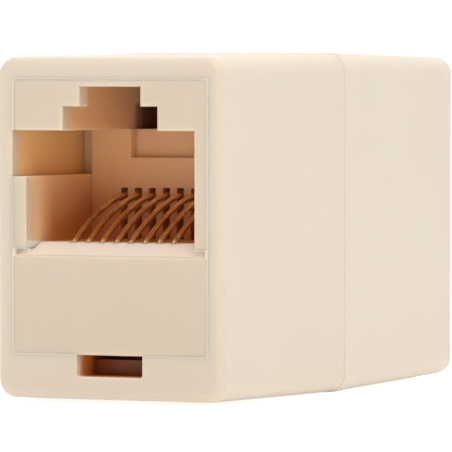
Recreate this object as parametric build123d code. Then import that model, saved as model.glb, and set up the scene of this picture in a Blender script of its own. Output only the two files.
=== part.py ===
from build123d import *
import math
import os

# Inline coupler for eight-way modular plugs, in millimetres, standing on its belt.
# X runs across the sockets, Y from the front mouth to the rear mouth, Z up.
# X = 0 is the middle of the sockets.

# Plug cavity
opening_width = 11.9
opening_height = 7.2
cavity_depth = 9.5
latch_width = 6.7
latch_height = 1.55
neck_width = 4.3
neck_height = 1.26
neck_web = 1.3
latch_roof = 0.5

# Jack frame
jamb_width = 0.93
back_wall = 1.3
skirt_depth = 1.0
skirt_wall = 1.1
floor_thickness = 1.7
floor_start = 3.0
jamb_foot = 0.35
window_height = 2.96
window_overrun = 0.8
recess_width = 6.1
recess_height = 1.87
recess_depth = 0.75
frame_round = 0.18

# Contact carrier
face_height = 6.3
lip_rise = 0.85
lip_depth = 2.0
lip_back = 0.25
jamb_ramp = 0.45
carrier_overhang = 0.03
carrier_wall = 1.15
carrier_face_wall = 1.5
bed_thickness = 1.7
centre_rib = 1.0
carrier_round = 0.15

# Contact wires
contact_count = 8
contact_pitch = 1.016
wire_diameter = 0.36
wire_sides = 8
contact_bow = 20.0
lip_stand_off = 0.4
lip_lift = 0.14
hook_radius = 0.5
foot_radius = 0.6
tail_length = 0.8
comb_height = 3.35
comb_slot = 0.52
groove_width = 0.46

# Snap nib and release slot
slot_width = 4.7
slot_height = 1.36
slot_depth = 2.94
slot_round = 0.2
ledge_height = 0.97
ledge_length = 1.6
pocket_length = 2.8
nib_length = 2.0
nib_drop = 0.9

# Sleeve
sleeve_length = 37.8
rim_side = 1.12
rim_top = 1.37
rim_bottom = 2.83
draft_side = 0.31
draft_height = 0.23
mouth_land = 0.8
belt_length = 1.3
belt_proud = 0.04
long_edge_radius = 1.2
mouth_edge_radius = 0.6
bore_corner = 0.05
stop_proud = 0.9
stop_height = 6.0

# Clearances
slide_gap = 0.04
seat_gap = 0.03
roof_gap = 0.05
deck_gap = 0.05
wire_gap = 0.05
comb_gap = 0.26
end_gap = 0.1

# Widths, outward from the opening
frame_width = opening_width + 2 * jamb_width
carrier_width = frame_width + 2 * carrier_overhang
bore_width = carrier_width + 2 * slide_gap
end_width = bore_width + 2 * rim_side
mid_width = end_width + 2 * draft_side

# Heights, upward from the surface that the belt stands on
bore_floor = belt_proud + draft_height + rim_bottom
carrier_base = bore_floor + seat_gap
face_top = carrier_base + face_height
deck = face_top + lip_rise
opening_top = deck + opening_height
latch_top = opening_top + latch_height
neck_top = latch_top + neck_height
frame_top = neck_top + latch_roof
bore_top = frame_top + roof_gap
floor_base = deck - floor_thickness
bed = floor_base - deck_gap
jamb_base = deck - jamb_foot
rail_top = jamb_base - deck_gap
comb_top = deck + comb_height
bore_height = bore_top - bore_floor
end_height = bore_height + rim_bottom + rim_top
mid_height = end_height + 2 * draft_height
axis_height = belt_proud + mid_height / 2

# Lengths, inward from the mouth
middle = sleeve_length / 2
frame_depth = cavity_depth + back_wall + skirt_depth
carrier_length = middle - end_gap / 2

# Contact line in the Y-Z plane: one bow from the lip to the comb, tangent to a hook that drops down
lip_point = (lip_depth + lip_stand_off, deck + lip_lift)
comb_point = (cavity_depth, comb_top - comb_gap - wire_diameter / 2)
chord = math.dist(lip_point, comb_point)
chord_slope = math.atan2(comb_point[1] - lip_point[1], comb_point[0] - lip_point[0])
half_bow = math.asin(chord / (2 * contact_bow))
lip_slope = chord_slope + half_bow
tail_slope = chord_slope - half_bow - tail_length / contact_bow
drop_y = lip_point[0] - hook_radius * (1 - math.sin(lip_slope))
drop_z = lip_point[1] - hook_radius * math.cos(lip_slope)
run_z = bed - wire_gap - wire_diameter / 2
groove_floor = run_z - wire_diameter / 2 - wire_gap
groove_front = drop_y - wire_diameter / 2 - wire_gap
contact_places = [(i - (contact_count - 1) / 2) * contact_pitch for i in range(contact_count)]


def block(x_low, x_high, y_low, y_high, z_low, z_high):
    """Gives a box between its low and high corners."""
    middle_point = ((x_low + x_high) / 2, (y_low + y_high) / 2, (z_low + z_high) / 2)
    return Pos(*middle_point) * Box(x_high - x_low, y_high - y_low, z_high - z_low)


def centred(width, y_low, y_high, z_low, z_high):
    """Gives a box centred on X = 0."""
    return block(-width / 2, width / 2, y_low, y_high, z_low, z_high)


def turned(shape):
    """Gives the same shape at the other end of the coupler, turned half round about the upright axis."""
    return Pos(0, middle, 0) * Rot(0, 0, 180) * Pos(0, -middle, 0) * shape


def sleeve_section(y, width, height):
    """Gives the sleeve's rounded outline at one place along its length."""
    place = Plane(origin=(0, y, axis_height), x_dir=(1, 0, 0), z_dir=(0, -1, 0))
    return place * RectangleRounded(width, height, long_edge_radius)


def outer_sleeve():
    """Drafted tube, widest at its belt, with the release slots and ledges in its thick bottom rim."""
    land_end = sleeve_section(mouth_land, end_width, end_height)
    land = extrude(land_end, mouth_land)
    waist = sleeve_section(middle - belt_length / 2, mid_width, mid_height)
    half = land + loft([land_end, waist], ruled=True)
    belt_outline = sleeve_section(middle, mid_width + 2 * belt_proud, mid_height + 2 * belt_proud)
    belt = extrude(belt_outline, belt_length / 2, both=True)
    shell = half + belt + turned(half)
    mouths = shell.faces().filter_by(Plane.XZ).sort_by(Axis.Y)
    shell = fillet(mouths[0].edges() + mouths[-1].edges(), mouth_edge_radius)

    bore = centred(bore_width, -1, sleeve_length + 1, bore_floor, bore_top)
    shell -= fillet(bore.edges().filter_by(Axis.Y), bore_corner)

    # Stop ribs on the side walls, between the two jack frames
    stop_low = (deck + opening_top - stop_height) / 2
    stop_start = frame_depth + end_gap
    for side in (-1, 1):
        wall = side * bore_width / 2
        inner = wall - side * stop_proud
        stop_end = sleeve_length - stop_start
        stop_high = stop_low + stop_height
        shell += block(min(wall, inner), max(wall, inner), stop_start, stop_end, stop_low, stop_high)

    # Release slot, ledge and nib pocket in the bottom rim, one set at each end
    slot_floor = bore_floor - slot_height
    slot = centred(slot_width, -1, slot_depth, slot_floor, bore_floor)
    slot = fillet(slot.edges().filter_by(Axis.Y).group_by(Axis.Z)[0], slot_round)
    over_ledge = centred(slot_width, 0, slot_depth + ledge_length, slot_floor + ledge_height, bore_floor)
    pocket_start = slot_depth + ledge_length
    pocket = centred(slot_width, pocket_start, pocket_start + pocket_length, slot_floor, bore_floor)
    relief = slot + over_ledge + pocket
    return shell - relief - turned(relief)


def jack_frame():
    """Moulding round the plug cavity: stepped latch slot, side window, floor and slotted back wall."""
    frame = centred(frame_width, 0, frame_depth, jamb_base, frame_top)
    frame -= centred(opening_width, -1, floor_start, jamb_base - 1, opening_top)
    frame -= centred(opening_width, 0, cavity_depth, deck, opening_top)
    window_low = opening_top - window_height
    window_end = cavity_depth + window_overrun
    frame -= block(-frame_width, -opening_width / 2, -1, window_end, window_low, opening_top)
    frame -= centred(latch_width, -1, frame_depth + 1, opening_top, latch_top)
    frame -= centred(neck_width, -1, neck_web + 1, latch_top, neck_top)
    frame -= centred(latch_width, neck_web, frame_depth + 1, latch_top, neck_top)
    frame = fillet(frame.faces().sort_by(Axis.Y)[0].edges(), frame_round)

    # Floor that presses the wires into the carrier's grooves
    frame += centred(opening_width, floor_start, frame_depth, floor_base, deck)
    # Shallow recess in the back wall, under the roof of the cavity
    recess_end = cavity_depth + recess_depth
    frame -= centred(recess_width, cavity_depth - 1, recess_end, opening_top - recess_height, opening_top)
    # Hollow behind the back wall
    hollow_top = opening_top - skirt_wall
    hollow_width = frame_width - 2 * skirt_wall
    frame -= centred(hollow_width, cavity_depth + back_wall, frame_depth + 1, deck, hollow_top)
    # Comb that parts the wire tails
    comb_end = cavity_depth + back_wall + 1
    for x in contact_places:
        frame -= block(x - comb_slot / 2, x + comb_slot / 2, cavity_depth - 1, comb_end, deck, comb_top)
    return frame


def contact_carrier():
    """Lower block: blank face, sloped lip with wire notches, grooved bed, side rails and snap nib."""
    lip_end = drop_y + lip_back
    profile = Plane.YZ * Polyline(
        (0, carrier_base),
        (0, face_top),
        (lip_depth, deck),
        (lip_end, deck),
        (lip_end, bed),
        (carrier_length, bed),
        (carrier_length, carrier_base),
        close=True,
    )
    carrier = extrude(make_face(profile), carrier_width / 2, both=True)
    carrier = fillet(carrier.faces().sort_by(Axis.Y)[0].edges(), carrier_round)
    foot_outline = Polyline(
        (carrier_round, face_top - 2 * carrier_round),
        (jamb_ramp, rail_top),
        (lip_end, rail_top),
        (lip_end, face_top - 2 * carrier_round),
        close=True,
    )
    for side in (-1, 1):
        # Seat under each jamb of the frame, with a steeper foot of the slope in front of it
        jamb = side * (opening_width / 2 - deck_gap)
        edge = side * (carrier_width / 2 + 1)
        carrier -= block(min(jamb, edge), max(jamb, edge), -1, lip_end + 1, rail_top, deck + 1)
        foot_width = (carrier_width - opening_width) / 2 + deck_gap - carrier_round
        foot = make_face(Plane.YZ.offset(jamb) * foot_outline)
        carrier += extrude(foot, foot_width, dir=(side, 0, 0))
        # Rail beside the frame's floor
        inner = side * (opening_width / 2 + 2 * deck_gap)
        outer = side * carrier_width / 2
        carrier += block(min(inner, outer), max(inner, outer), lip_end, frame_depth, bed, rail_top)
        # Cored hollow, one each side of the centre rib
        near = side * centre_rib / 2
        far = side * (carrier_width / 2 - carrier_wall)
        low = carrier_base + carrier_wall
        high = bed - bed_thickness
        carrier -= block(min(near, far), max(near, far), carrier_face_wall, carrier_length + 1, low, high)
    for x in contact_places:
        left = x - groove_width / 2
        right = x + groove_width / 2
        carrier -= block(left, right, groove_front, carrier_length + 1, groove_floor, bed + 1)
        carrier -= block(left, right, groove_front, lip_end + 1, groove_floor, deck + 1)

    # Snap nib under the block, upright at the front and sloped behind
    nib_start = slot_depth + ledge_length + end_gap
    nib_profile = Plane.YZ * Polyline(
        (nib_start, carrier_base),
        (nib_start, carrier_base - nib_drop),
        (nib_start + nib_length / 4, carrier_base - nib_drop),
        (nib_start + nib_length, carrier_base),
        close=True,
    )
    nib_width = slot_width - 4 * slide_gap
    return carrier + extrude(make_face(nib_profile), nib_width / 2, both=True)


def bow_point(slope):
    """Gives a point of the bowed contact line where it has this slope."""
    y = lip_point[0] + contact_bow * (math.sin(lip_slope) - math.sin(slope))
    z = lip_point[1] + contact_bow * (math.cos(slope) - math.cos(lip_slope))
    return (0, y, z)


def corner_point(centre_y, centre_z, radius, angle):
    """Gives a point on a small bend round its centre, with the angle measured from +Y towards +Z."""
    return (0, centre_y + radius * math.cos(angle), centre_z + radius * math.sin(angle))


def contact_wire(x):
    """One spring wire: tail in the comb, bow, hook, drop, run under the floor, and the same at the rear."""
    tail = bow_point(tail_slope)
    bow = ThreePointArc(tail, bow_point((tail_slope + lip_slope) / 2), bow_point(lip_slope))
    hook_y = drop_y + hook_radius
    hook_angle = math.pi / 2 + lip_slope
    hook = ThreePointArc(
        bow @ 1,
        corner_point(hook_y, drop_z, hook_radius, (hook_angle + math.pi) / 2),
        corner_point(hook_y, drop_z, hook_radius, math.pi),
    )
    foot_y = drop_y + foot_radius
    foot_z = run_z + foot_radius
    drop = Line(hook @ 1, (0, drop_y, foot_z))
    foot = ThreePointArc(
        drop @ 1,
        corner_point(foot_y, foot_z, foot_radius, 1.25 * math.pi),
        corner_point(foot_y, foot_z, foot_radius, 1.5 * math.pi),
    )
    run = Line(foot @ 1, (0, middle, run_z))
    path = Wire([bow, hook, drop, foot, run])
    start = Plane(origin=path @ 0, z_dir=path % 0)
    section = RegularPolygon(wire_diameter / 2, wire_sides, major_radius=False, rotation=180 / wire_sides)
    front = sweep(start * section, path=path)
    rear = mirror(front, about=Plane.XZ.offset(-middle))
    return Pos(x, 0, 0) * (front + rear)


frame = jack_frame()
carrier = contact_carrier()
parts = {
    "outer_sleeve": outer_sleeve(),
    "front_jack_frame": frame,
    "rear_jack_frame": turned(frame),
    "front_contact_carrier": carrier,
    "rear_contact_carrier": turned(carrier),
}
for number, x in enumerate(contact_places, start=1):
    parts[f"contact_wire_{number}"] = contact_wire(x)

# The origin is under the middle of the belt
os.makedirs("parts", exist_ok=True)
for name, shape in parts.items():
    export_step(Pos(0, -middle, 0) * shape, f"parts/{name}.step")
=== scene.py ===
import math

import bmesh
import bpy
from mathutils import Matrix, Vector


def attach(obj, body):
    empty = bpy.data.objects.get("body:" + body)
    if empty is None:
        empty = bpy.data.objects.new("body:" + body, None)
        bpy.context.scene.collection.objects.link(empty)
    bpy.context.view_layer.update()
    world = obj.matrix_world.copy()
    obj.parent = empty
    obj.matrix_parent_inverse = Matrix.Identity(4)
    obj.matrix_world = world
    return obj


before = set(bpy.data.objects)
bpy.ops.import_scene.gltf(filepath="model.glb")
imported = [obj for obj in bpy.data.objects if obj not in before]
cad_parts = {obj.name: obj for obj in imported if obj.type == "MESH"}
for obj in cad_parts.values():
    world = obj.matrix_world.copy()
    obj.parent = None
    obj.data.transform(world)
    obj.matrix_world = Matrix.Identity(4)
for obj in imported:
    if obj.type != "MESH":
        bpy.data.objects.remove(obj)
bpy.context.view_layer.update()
scene = bpy.context.scene
scene.view_settings.view_transform = "Standard"


# Camera
# A long lens that looks at the front mouth from 25 degrees to its right and a little above it.
# The picture is square.
azimuth = math.radians(24.926)
elevation = math.radians(1.689)
distance = 0.34451
aim = Vector((0.008219, -0.0189, 0.011516))
back = Vector(
    (
        math.sin(azimuth) * math.cos(elevation),
        -math.cos(azimuth) * math.cos(elevation),
        math.sin(elevation),
    )
)
right = (-back).cross(Vector((0, 0, 1))).normalized()
up = right.cross(-back)
eye = aim + back * distance
camera = bpy.data.objects.new("camera", bpy.data.cameras.new("camera"))
scene.collection.objects.link(camera)
camera.matrix_world = Matrix(
    (
        (right.x, up.x, back.x, eye.x),
        (right.y, up.y, back.y, eye.y),
        (right.z, up.z, back.z, eye.z),
        (0, 0, 0, 1),
    )
)
camera.data.sensor_width = 36.0
camera.data.lens = 434.78
camera.data.clip_start = 0.01
camera.data.clip_end = 20.0
scene.camera = camera


# Studio
# A white room that is brightest behind and above the coupler, with a large soft lamp over its
# front. The floor is a white sheet that keeps the coupler's soft shadow.
front_level = 0.22
backdrop_level = 1.1
overhead_level = 0.68
lamp_watts = 1.8
lamp_place = Vector((0.15, -0.35, 0.45))
lamp_aim = Vector((0, 0, 0.01))
sheet_half = 4
sheet_white = (0.85, 0.85, 0.85, 1)
lamp_white = (1, 1, 1, 1)


def linear(hex_colour):
    """Gives a linear colour with alpha from an sRGB hex colour."""
    channels = [int(hex_colour[i : i + 2], 16) / 255 for i in (0, 2, 4)]
    turned = [c / 12.92 if c <= 0.04045 else ((c + 0.055) / 1.055) ** 2.4 for c in channels]
    return (*turned, 1.0)


def node(tree, kind, settings=None, links=None, **values):
    """Adds a node with its settings, its socket values and the sockets that feed it."""
    made = tree.nodes.new(kind)
    for name, value in (settings or {}).items():
        setattr(made, name, value)
    for name, value in values.items():
        made.inputs[name.replace("_", " ")].default_value = value
    for name, source in (links or {}).items():
        tree.links.new(source, made.inputs[name])
    return made


world = bpy.data.worlds.new("white_room")
scene.world = world
world.use_nodes = True
tree = world.node_tree
tree.nodes.clear()
direction = node(tree, "ShaderNodeTexCoord")
axes = node(tree, "ShaderNodeSeparateXYZ", links={"Vector": direction.outputs["Generated"]})
behind = node(
    tree,
    "ShaderNodeMapRange",
    {"interpolation_type": "SMOOTHSTEP"},
    {"Value": axes.outputs["Y"]},
    From_Min=-0.2,
    From_Max=0.9,
    To_Min=front_level,
    To_Max=backdrop_level,
)
above = node(
    tree,
    "ShaderNodeMapRange",
    {"interpolation_type": "SMOOTHSTEP"},
    {"Value": axes.outputs["Z"]},
    From_Min=0.3,
    From_Max=0.95,
    To_Min=0.0,
    To_Max=overhead_level,
)
level = node(
    tree, "ShaderNodeMath", links={0: behind.outputs["Result"], 1: above.outputs["Result"]}
)
light = node(tree, "ShaderNodeBackground", links={"Strength": level.outputs[0]}, Color=lamp_white)
node(tree, "ShaderNodeOutputWorld", links={"Surface": light.outputs["Background"]})

lamp = bpy.data.objects.new("soft_light", bpy.data.lights.new("soft_light", "AREA"))
scene.collection.objects.link(lamp)
lamp.data.shape = "RECTANGLE"
lamp.data.size = 0.5
lamp.data.size_y = 0.4
lamp.data.energy = lamp_watts
lamp.location = lamp_place
lamp.rotation_euler = (lamp_aim - lamp_place).to_track_quat("-Z", "Y").to_euler()

floor_mesh = bpy.data.meshes.new("floor")
corners = [
    (-sheet_half, -sheet_half, 0),
    (sheet_half, -sheet_half, 0),
    (sheet_half, sheet_half, 0),
    (-sheet_half, sheet_half, 0),
]
floor_mesh.from_pydata(corners, [], [(0, 1, 2, 3)])
floor = bpy.data.objects.new("floor", floor_mesh)
scene.collection.objects.link(floor)

# Matt white paper, lit a little from within so that it reads as plain white to the camera
paper = bpy.data.materials.new("white_paper")
paper.use_nodes = True
tree = paper.node_tree
tree.nodes.clear()
diffuse = node(tree, "ShaderNodeBsdfDiffuse", Color=sheet_white)
faint = node(tree, "ShaderNodeEmission", Color=lamp_white, Strength=0.3)
sheet = node(tree, "ShaderNodeAddShader", links={0: diffuse.outputs[0], 1: faint.outputs[0]})
glow = node(tree, "ShaderNodeEmission", Color=lamp_white, Strength=0.4)
bright = node(tree, "ShaderNodeAddShader", links={0: sheet.outputs[0], 1: glow.outputs[0]})
path = node(tree, "ShaderNodeLightPath")
seen = node(
    tree,
    "ShaderNodeMixShader",
    links={0: path.outputs["Is Camera Ray"], 1: sheet.outputs[0], 2: bright.outputs[0]},
)
node(tree, "ShaderNodeOutputMaterial", links={"Surface": seen.outputs[0]})
floor_mesh.materials.append(paper)


# Outer sleeve
# The tube that holds both jacks, moulded in ivory ABS and drafted from its belt to both mouths.
# The plastic is satin and a little translucent, so thin walls and corners take on an amber glow.
# Inside the bore and the release slot, glow and shade are also painted into its colour.
def millimetres(tree):
    """Gives the place on the coupler in millimetres, for patterns of real size."""
    place = node(tree, "ShaderNodeTexCoord")
    scaled = node(
        tree, "ShaderNodeVectorMath", {"operation": "SCALE"}, {0: place.outputs["Object"]}
    )
    scaled.inputs["Scale"].default_value = 1000.0
    return scaled.outputs[0]


# Mask that places the painted light and shade inside the bore
def painted_light_mask(tree, place, side, heights, depths):
    """Gives 0 to 1 along the bore between two distances from the middle, and between two heights.

    It is 0 on the outer faces: beyond the half width, under the slots and over the roof.
    """
    bore_middle = 11.3
    bore_half_height = 9.8
    axes = node(tree, "ShaderNodeSeparateXYZ", links={"Vector": place})
    across = node(tree, "ShaderNodeMath", {"operation": "ABSOLUTE"}, {0: axes.outputs["X"]})
    within = node(tree, "ShaderNodeMath", {"operation": "LESS_THAN"}, {0: across.outputs[0]})
    within.inputs[1].default_value = side
    level = node(
        tree,
        "ShaderNodeMapRange",
        {"interpolation_type": "SMOOTHSTEP"},
        {"Value": axes.outputs["Z"]},
        From_Min=heights[0],
        From_Max=heights[1],
    )
    along = node(tree, "ShaderNodeMath", {"operation": "ABSOLUTE"}, {0: axes.outputs["Y"]})
    depth = node(
        tree,
        "ShaderNodeMapRange",
        {"interpolation_type": "SMOOTHSTEP"},
        {"Value": along.outputs[0]},
        From_Min=depths[0],
        From_Max=depths[1],
    )
    roofed = node(tree, "ShaderNodeMath", {"operation": "COMPARE"}, {0: axes.outputs["Z"]})
    roofed.inputs[1].default_value = bore_middle
    roofed.inputs[2].default_value = bore_half_height
    share = depth.outputs["Result"]
    for part in (within.outputs[0], level.outputs["Result"], roofed.outputs[0]):
        both = node(tree, "ShaderNodeMath", {"operation": "MULTIPLY"}, {0: share, 1: part})
        share = both.outputs[0]
    return share


def moulded_plastic(
    name, pale, deep, roughness, grain, painted_glow, painted_glow_heights, painted_glow_depths, soak=1.0
):
    """Satin moulded ABS: two close tones in a slow drift, fine mould grain, light that soaks in.

    The tones drift over about 6 mm and the faces wave over about 3 mm. Grain is a count of cells
    in a millimetre: real spark grain is near 0.05 mm, and it is drawn two to three times as coarse
    so that it shows. Inside the bore, light and shade are painted into the colour: a paler painted
    lip, then a painted glow for light that comes through the walls, which keep its blue, and painted
    shade that turns brown deeper in. Zones are in mm: half width, heights, distances from the
    middle.
    """
    painted_bore_light_and_shade = (
        # Painted light: the lip just behind the mouth is drawn paler, which lifts the shade under
        # the jambs
        ("f4e8da", 6.95, (10.5, 10.3), (18.85, 18.6)),
        # Painted glow, for light that comes through the walls, on all that lies past the mouth
        (painted_glow, 7.4, painted_glow_heights, painted_glow_depths),
        # Painted shade, darker towards the floor of the socket, round the wires
        ("d28a50", 7.4, (16.0, 10.8), (17.4, 14.6)),
        # Painted shade behind the back wall
        ("a86236", 7.4, (19.3, 19.0), (8.5, 7.6)),
        # Painted orange shade at the front of the release slot, then darker painted shade in its
        # depth
        ("ea9450", 2.4, (3.2, 3.0), (18.9, 17.6)),
        ("a45a2e", 2.4, (3.2, 3.0), (17.0, 16.0)),
    )
    made = bpy.data.materials.new(name)
    made.use_nodes = True
    tree = made.node_tree
    tree.nodes.clear()
    place = millimetres(tree)
    drift = node(tree, "ShaderNodeTexNoise", links={"Vector": place}, Scale=0.16, Detail=3.0)
    tone = node(tree, "ShaderNodeMix", {"data_type": "RGBA"}, {0: drift.outputs["Fac"]})
    tone.inputs[6].default_value = linear(pale)
    tone.inputs[7].default_value = linear(deep)
    for colour, side, heights, depths in painted_bore_light_and_shade:
        share = painted_light_mask(tree, place, side, heights, depths)
        painted_mix = node(
            tree, "ShaderNodeMix", {"data_type": "RGBA"}, {0: share, 6: tone.outputs[2]}
        )
        painted_mix.inputs[7].default_value = linear(colour)
        tone = painted_mix
    fine = node(tree, "ShaderNodeTexNoise", links={"Vector": place}, Scale=grain, Detail=4.0)
    wave = node(tree, "ShaderNodeTexNoise", links={"Vector": place}, Scale=0.35, Detail=1.0)
    slow = node(
        tree,
        "ShaderNodeBump",
        links={"Height": wave.outputs["Fac"]},
        Strength=0.12,
        Distance=0.00012,
    )
    bump = node(
        tree,
        "ShaderNodeBump",
        links={"Height": fine.outputs["Fac"], "Normal": slow.outputs["Normal"]},
        Strength=0.25,
        Distance=0.00001,
    )
    gloss = node(
        tree,
        "ShaderNodeMapRange",
        links={"Value": fine.outputs["Fac"]},
        From_Min=0.3,
        From_Max=0.7,
        To_Min=roughness - 0.04,
        To_Max=roughness + 0.04,
    )
    plastic = node(
        tree,
        "ShaderNodeBsdfPrincipled",
        links={
            "Base Color": tone.outputs[2],
            "Roughness": gloss.outputs["Result"],
            "Normal": bump.outputs["Normal"],
        },
        Subsurface_Weight=soak,
        Subsurface_Radius=(0.7, 0.55, 0.42),
        Subsurface_Scale=0.001,
        IOR=1.5,
    )
    node(tree, "ShaderNodeOutputMaterial", links={"Surface": plastic.outputs[0]})
    return made


# Polished mould, so the sleeve has the softest sheen of the three plastics
# Its bore and release slot get the painted glow (ffd494 here) and the painted shade
sleeve_plastic = moulded_plastic(
    "satin_ivory_abs", "ddd0bf", "d9cbb9", 0.38, 7.0, "ffd494", (3.2, 3.4), (18.9, 17.0)
)
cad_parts["outer_sleeve"].material_slots[0].material = sleeve_plastic


# Jack frames and contact carriers
# The frame with the plug opening and the block with the wires are moulded in the same ivory ABS
# and slide in at each mouth. They are a shade deeper and a little more matt than the sleeve.
# Past the mouth the inserts get the painted glow (f6cc9c here), painted shade round the wires and
# behind the back wall, and the paler painted lip
insert_plastic = moulded_plastic(
    "insert_ivory_abs", "d9cab6", "d5c5b0", 0.42, 9.0, "f6cc9c", (10.3, 10.5), (18.85, 17.2)
)
for name in (
    "front_jack_frame",
    "rear_jack_frame",
    "front_contact_carrier",
    "rear_contact_carrier",
):
    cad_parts[name].material_slots[0].material = insert_plastic


# Weld beads
# A thin bead of solvent weld joins the inserts to the sleeve just behind each mouth. It is their own
# ABS, drawn paler than the inserts as a painted highlight, so the joint is a faint light line. It
# fills the hole beside each seat and the slit under each jamb, and breaks off at the side window.
to_metres = 0.001
bore_side = 6.95
frame_side = 6.84
bore_floor = 3.10
bore_roof = 20.84
carrier_base = 3.18
frame_roof = 20.75
slot_side = 2.35
window_low = 14.5
window_high = 17.5
corner_side = 6.7
corner_low = 20.6
seat_side = 6.74
seat_low = 9.2
jamb_side = 5.96
jamb_slit = 9.88
jamb_base = 9.95
mouth = -18.9
setback = 0.03
bead_depth = 0.6

# Softened ABS dries matt and dense, so no light soaks in. Its paler tones are a painted highlight,
# and past the mouth it takes the painted glow too. Sizes above are in millimetres.
bead_plastic_painted_highlight = moulded_plastic(
    "weld_ivory_abs",
    "ecd8c0",
    "e8d4bc",
    0.5,
    9.0,
    "fccc96",
    (10.3, 10.5),
    (18.7, 16.6),
    soak=0.0,
)


def bead(name, end):
    """Adds the bead of one mouth, as flat strips side by side behind its rounded edge."""
    strips = [
        (-frame_side, frame_side, frame_roof, bore_roof),
        (frame_side, bore_side, bore_floor, bore_roof),
        (-bore_side, -frame_side, bore_floor, window_low),
        (-bore_side, -frame_side, window_high, bore_roof),
    ]
    for near, far, bottom, top in (
        (slot_side, frame_side, bore_floor, carrier_base),
        (corner_side, frame_side, corner_low, frame_roof),
        (seat_side, frame_side, seat_low, jamb_base),
        (jamb_side, seat_side, jamb_slit, jamb_base),
    ):
        strips.append((-far, -near, bottom, top))
        strips.append((near, far, bottom, top))
    turn = Matrix.Diagonal((end, end, 1, 1))
    middle_y = mouth + setback + bead_depth / 2
    shape = bmesh.new()
    for left, right_side, bottom, top in strips:
        size = Vector((right_side - left, bead_depth, top - bottom)) * to_metres
        middle = Vector(((left + right_side) / 2, middle_y, (bottom + top) / 2)) * to_metres
        place = turn @ Matrix.Translation(middle) @ Matrix.Diagonal((*size, 1))
        bmesh.ops.create_cube(shape, size=1.0, matrix=place)
    mesh = bpy.data.meshes.new(name)
    shape.to_mesh(mesh)
    shape.free()
    mesh.materials.append(bead_plastic_painted_highlight)
    piece = bpy.data.objects.new(name, mesh)
    scene.collection.objects.link(piece)
    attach(piece, "root")


bead("front_weld_bead", 1)
bead("rear_weld_bead", -1)


# Contact wires
# Eight sprung wires of gilt bronze, bowed from the lip to the comb in the back wall and laid in the
# carriers' grooves to the other socket.
wire_count = 8

# Drawing leaves fine lines along a wire, which streak its gold sheen. Real lines are a few
# hundredths of a millimetre apart. They are drawn about 0.14 mm apart, so that they show.
gilt = bpy.data.materials.new("drawn_gilt_bronze")
gilt.use_nodes = True
tree = gilt.node_tree
tree.nodes.clear()
place = millimetres(tree)
stretched = node(tree, "ShaderNodeMapping", links={"Vector": place})
stretched.inputs["Scale"].default_value = (7.0, 0.4, 3.0)
lines = node(
    tree, "ShaderNodeTexNoise", links={"Vector": stretched.outputs[0]}, Scale=1.0, Detail=4.0
)
shade = node(tree, "ShaderNodeMix", {"data_type": "RGBA"}, {0: lines.outputs["Fac"]})
shade.inputs[6].default_value = linear("dcb080")
shade.inputs[7].default_value = linear("ecca9c")
polish = node(
    tree,
    "ShaderNodeMapRange",
    links={"Value": lines.outputs["Fac"]},
    To_Min=0.2,
    To_Max=0.36,
)
metal = node(
    tree,
    "ShaderNodeBsdfPrincipled",
    links={"Base Color": shade.outputs[2], "Roughness": polish.outputs["Result"]},
    Metallic=1.0,
)
node(tree, "ShaderNodeOutputMaterial", links={"Surface": metal.outputs[0]})
for number in range(1, wire_count + 1):
    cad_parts[f"contact_wire_{number}"].material_slots[0].material = gilt
